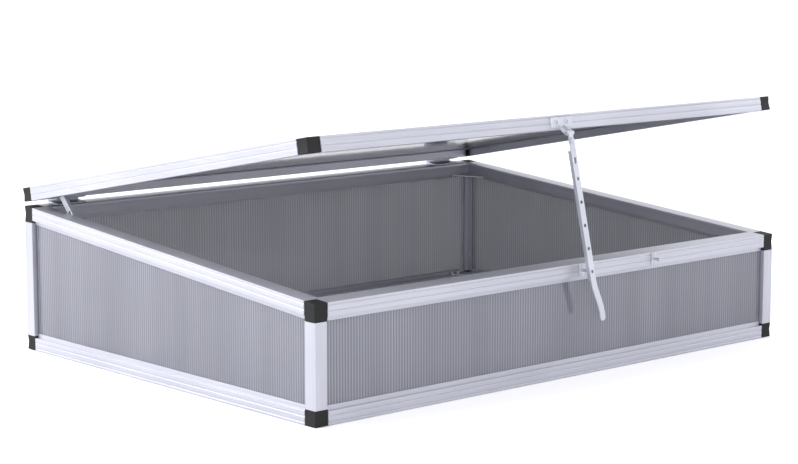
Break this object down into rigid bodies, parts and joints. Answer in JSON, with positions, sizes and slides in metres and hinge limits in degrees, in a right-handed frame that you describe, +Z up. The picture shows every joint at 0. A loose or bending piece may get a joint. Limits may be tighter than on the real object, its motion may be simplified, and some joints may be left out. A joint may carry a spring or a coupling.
{
  "type": "cold frame",
  "caption": "Cold frame with a low front and a tall rear wall, clear twin-wall sheets in aluminium rails, black corner blocks and a rear-hinged lid propped on a perforated stay.",
  "frame": {"origin": "on the ground, at the middle of the whole footprint with the stay and the hinge knuckles", "axes": "+X to the right seen from the front, +Y from the low front to the tall rear, +Z up"},
  "size_m": [1.08, 0.8441, 0.4401],
  "materials": {
    "satin_aluminium": "satin anodised extrusion",
    "plain_aluminium": "mill finish sheet",
    "black_plastic": "moulded, fine texture",
    "clear_sheet": "extruded twin-wall sheet",
    "zinc_steel": "bright zinc plate"
  },
  "bodies": {
    "base": {"bottom_rail_front": "satin_aluminium", "bottom_rail_rear": "satin_aluminium", "bottom_rail_left": "satin_aluminium", "bottom_rail_right": "satin_aluminium", "top_rail_front": "satin_aluminium", "top_rail_rear": "satin_aluminium", "top_rail_left": "satin_aluminium", "top_rail_right": "satin_aluminium", "corner_post_front_left": "satin_aluminium", "corner_post_front_right": "satin_aluminium", "corner_post_rear_left": "satin_aluminium", "corner_post_rear_right": "satin_aluminium", "bottom_corner_front_left": "black_plastic", "bottom_corner_front_right": "black_plastic", "bottom_corner_rear_left": "black_plastic", "bottom_corner_rear_right": "black_plastic", "top_corner_front_left": "black_plastic", "top_corner_front_right": "black_plastic", "top_corner_rear_left": "black_plastic", "top_corner_rear_right": "black_plastic", "wall_sheet_front": "clear_sheet", "wall_sheet_rear": "clear_sheet", "wall_sheet_left": "clear_sheet", "wall_sheet_right": "clear_sheet", "lower_gussets": "plain_aluminium", "upper_gussets": "plain_aluminium", "lower_gusset_bolts": "zinc_steel", "upper_gusset_bolts": "zinc_steel", "post_screws": "zinc_steel", "hinge_base_leaf_left": "plain_aluminium", "hinge_base_leaf_right": "plain_aluminium", "hinge_pin_left": "zinc_steel", "hinge_pin_right": "zinc_steel", "hinge_base_screws": "zinc_steel", "catch_middle": "zinc_steel", "catch_right": "zinc_steel", "catch_screws": "zinc_steel"},
    "lid": {"lid_rail_front": "satin_aluminium", "lid_rail_rear": "satin_aluminium", "lid_rail_left": "satin_aluminium", "lid_rail_right": "satin_aluminium", "lid_corner_front_left": "black_plastic", "lid_corner_front_right": "black_plastic", "lid_corner_rear_left": "black_plastic", "lid_corner_rear_right": "black_plastic", "lid_sheet": "clear_sheet", "hinge_lid_leaf_left": "plain_aluminium", "hinge_lid_leaf_right": "plain_aluminium", "hinge_lid_screws": "zinc_steel", "stay_bracket": "plain_aluminium", "stay_bracket_screws": "zinc_steel", "stay_cross_pin": "zinc_steel", "side_stay_bolt": "zinc_steel"},
    "stay_knuckle": {"stay_knuckle": "plain_aluminium", "stay_rivet": "zinc_steel"},
    "stay_arm": {"stay_arm": "plain_aluminium"},
    "side_stay": {"side_stay_arm": "plain_aluminium"}
  },
  "joints": [
    {"name": "lid_hinge", "type": "hinge", "parent": "base", "child": "lid", "pos_m": [0, 0.4172, 0.26026], "axis": [-1, 0, 0], "range_deg": [-15.9, 50]},
    {"name": "stay_tilt", "type": "hinge", "parent": "lid", "child": "stay_knuckle", "pos_m": [-0.005, -0.40097, 0.41156], "axis": [-1, 0, 0], "range_deg": [-30, 10]},
    {"name": "stay_swing", "type": "hinge", "parent": "stay_knuckle", "child": "stay_arm", "pos_m": [-0.005, -0.40165, 0.39858], "axis": [0, 0.9986, -0.0523], "range_deg": [-81.5, 30]},
    {"name": "side_stay_swing", "type": "hinge", "parent": "lid", "child": "side_stay", "pos_m": [-0.507, 0.34807, 0.2831], "axis": [-1, 0, 0], "range_deg": [-25, 55]}
  ],
  "couplings": [
    {"joint": "stay_tilt", "follows": "lid_hinge", "ratio": -0.58}
  ]
}
